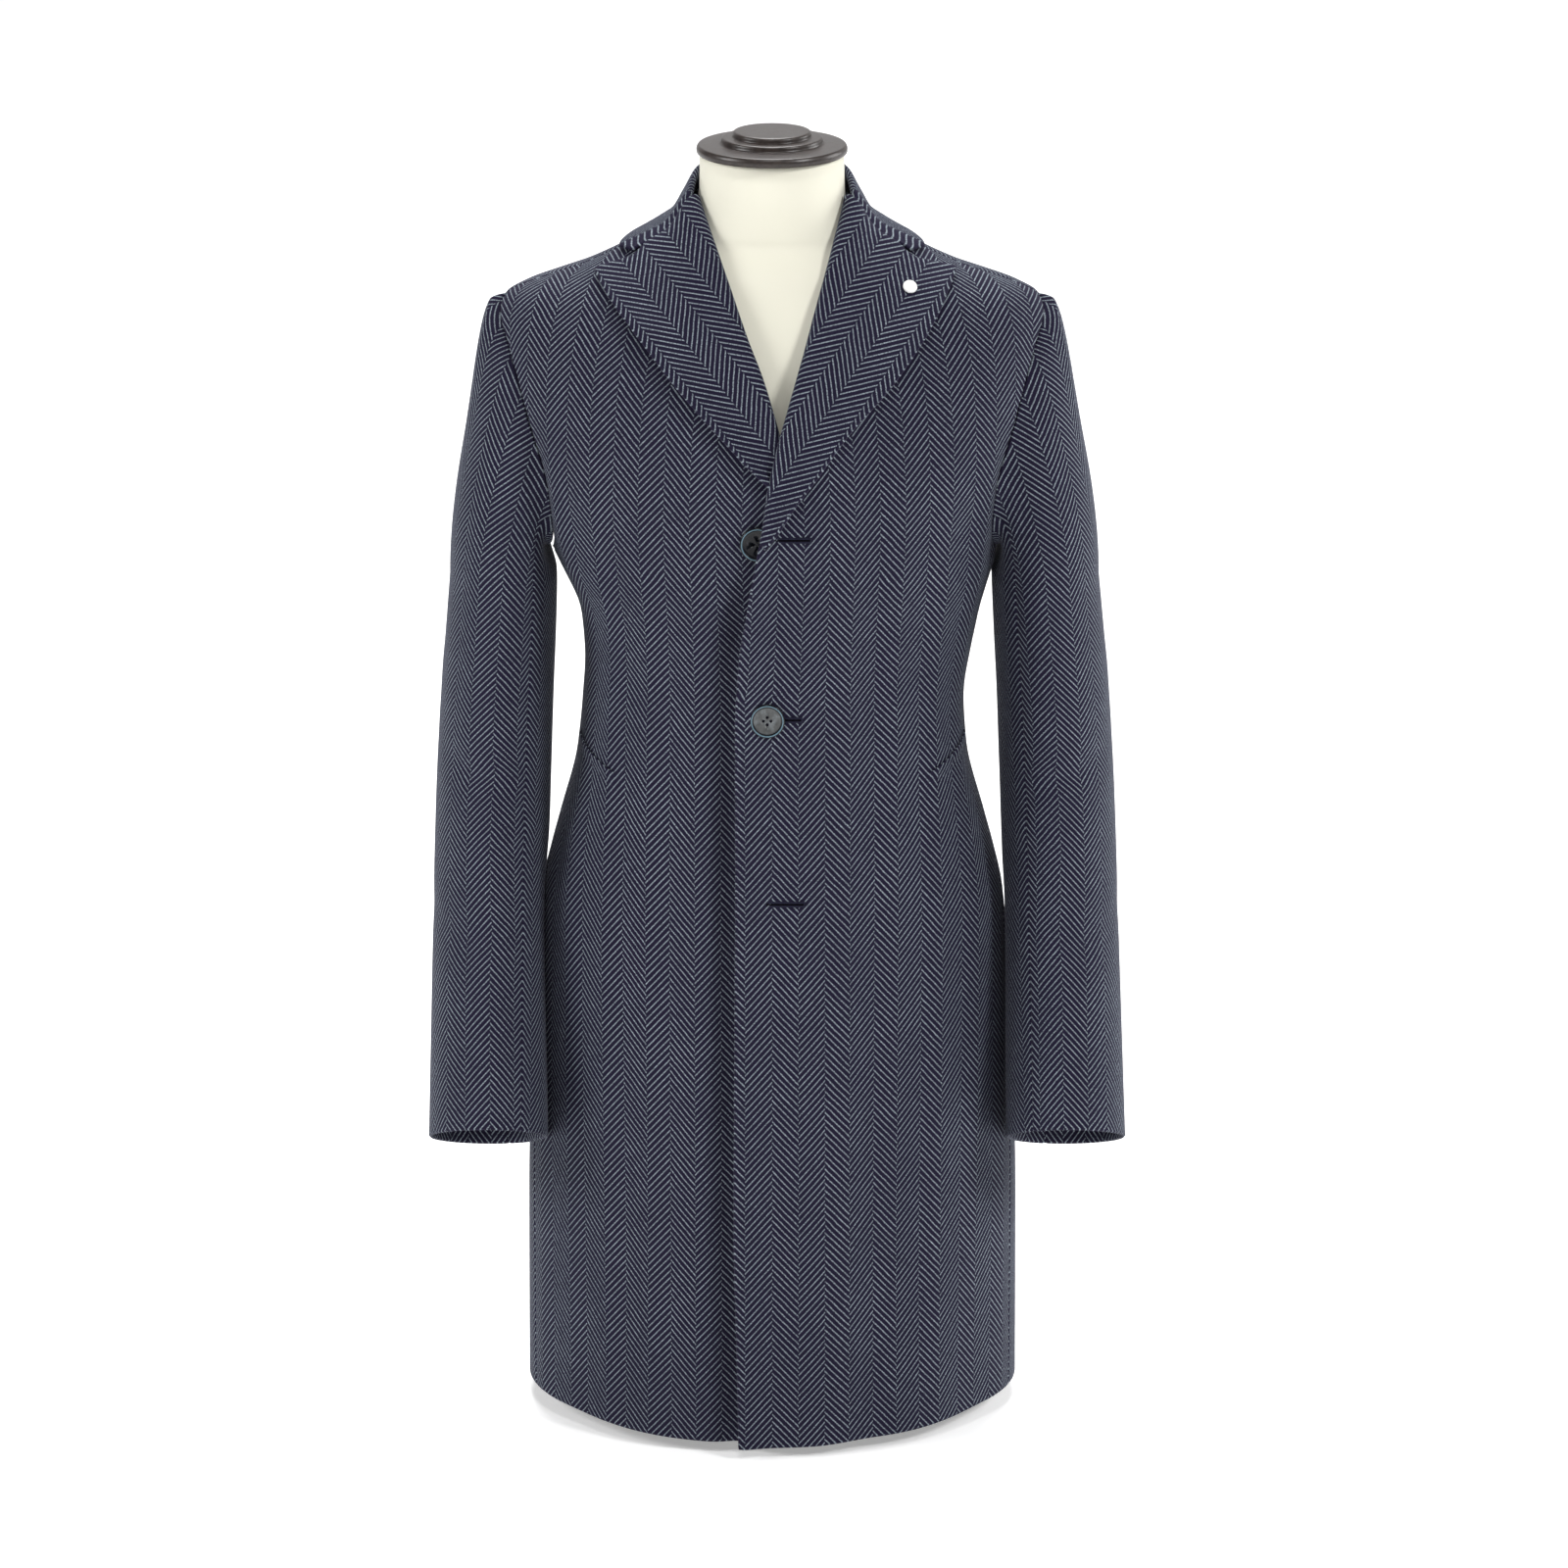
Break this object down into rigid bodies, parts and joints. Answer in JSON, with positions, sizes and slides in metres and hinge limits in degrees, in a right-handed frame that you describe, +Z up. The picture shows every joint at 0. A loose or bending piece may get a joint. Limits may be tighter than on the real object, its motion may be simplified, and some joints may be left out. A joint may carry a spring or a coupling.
{
  "type": "overcoat on dress form",
  "caption": "Single-breasted overcoat in herringbone cloth with notch lapels, worn by a limbless dress form with a stepped neck cap.",
  "frame": {"origin": "centre of the underside of the form's base", "axes": "+Z up, -Y out of the coat's front, +X towards the wearer's left"},
  "size_m": [0.5568, 0.3109, 1.0469],
  "materials": {
    "cloth": "brushed wool herringbone",
    "horn": "polished",
    "white": "satin",
    "form_cover": "smooth cotton",
    "cap": "dark satin lacquer",
    "steel": "brushed"
  },
  "bodies": {
    "root": {"front_left": "cloth", "front_right": "cloth", "back": "cloth", "top_sleeve_left": "cloth", "top_sleeve_right": "cloth", "under_sleeve_left": "cloth", "under_sleeve_right": "cloth", "collar": "cloth", "lapel_left": "cloth", "lapel_right": "cloth", "pocket_welt_left": "cloth", "pocket_welt_right": "cloth", "button_top": "horn", "button_middle": "horn", "button_bottom": "horn", "lapel_button": "white", "form_torso": "form_cover", "form_cap": "cap", "form_pole": "steel", "form_base": "steel"}
  },
  "joints": []
}
